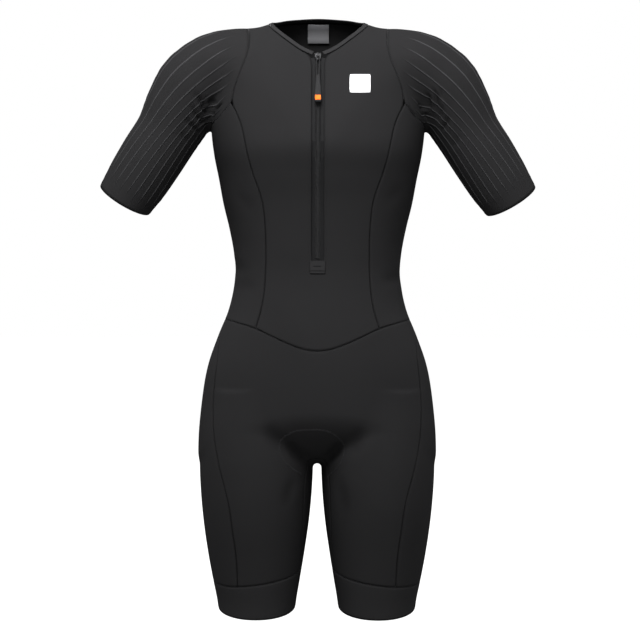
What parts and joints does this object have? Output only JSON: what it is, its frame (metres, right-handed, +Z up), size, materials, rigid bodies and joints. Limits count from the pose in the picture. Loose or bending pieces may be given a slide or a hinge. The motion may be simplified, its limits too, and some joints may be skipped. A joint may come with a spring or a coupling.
{
  "type": "triathlon suit",
  "caption": "One-piece short-sleeved triathlon suit filled out as worn: hollow stretch panels, ribbed sleeves, half-length front zip, leg bands.",
  "frame": {"origin": "between the shoulders at the base of the neck, where the wearer holds the suit up", "axes": "+Z up, -Y out of the suit's front, +X towards the wearer's left"},
  "size_m": [0.6174, 0.2366, 0.8534],
  "materials": {
    "suit_fabric": "matte black stretch knit",
    "sleeve_fabric": "black ribbed stretch knit",
    "leg_band": "black bonded elastic band",
    "binding": "black binding tape",
    "zip_tape": "black woven tape",
    "zip_metal": "satin black",
    "pull_strap": "matte black cord and sleeve",
    "pull_tag": "orange soft moulding",
    "neck_label": "grey transfer label, bare",
    "chest_patch": "white transfer patch, bare"
  },
  "bodies": {
    "suit": {"front_panel": "suit_fabric", "back_panel": "suit_fabric", "side_panel_left": "suit_fabric", "side_panel_right": "suit_fabric", "sleeve_left": "sleeve_fabric", "sleeve_right": "sleeve_fabric", "shorts_front": "suit_fabric", "shorts_back_left": "suit_fabric", "shorts_back_right": "suit_fabric", "inner_leg": "suit_fabric", "leg_band_left": "leg_band", "leg_band_right": "leg_band", "neck_binding": "binding", "zip_tape_left": "zip_tape", "zip_tape_right": "zip_tape", "zip_end_patch": "binding", "zip_slider": "zip_metal", "neck_label": "neck_label", "chest_patch": "chest_patch"},
    "zip_pull_body": {"zip_pull": "pull_strap", "zip_pull_tag": "pull_tag"}
  },
  "joints": [
    {"name": "zip_pull_hinge", "type": "hinge", "parent": "suit", "child": "zip_pull_body", "pos_m": [0, -0.06729, -0.05422], "axis": [-1, 0, 0], "range_deg": [0, 150]}
  ]
}
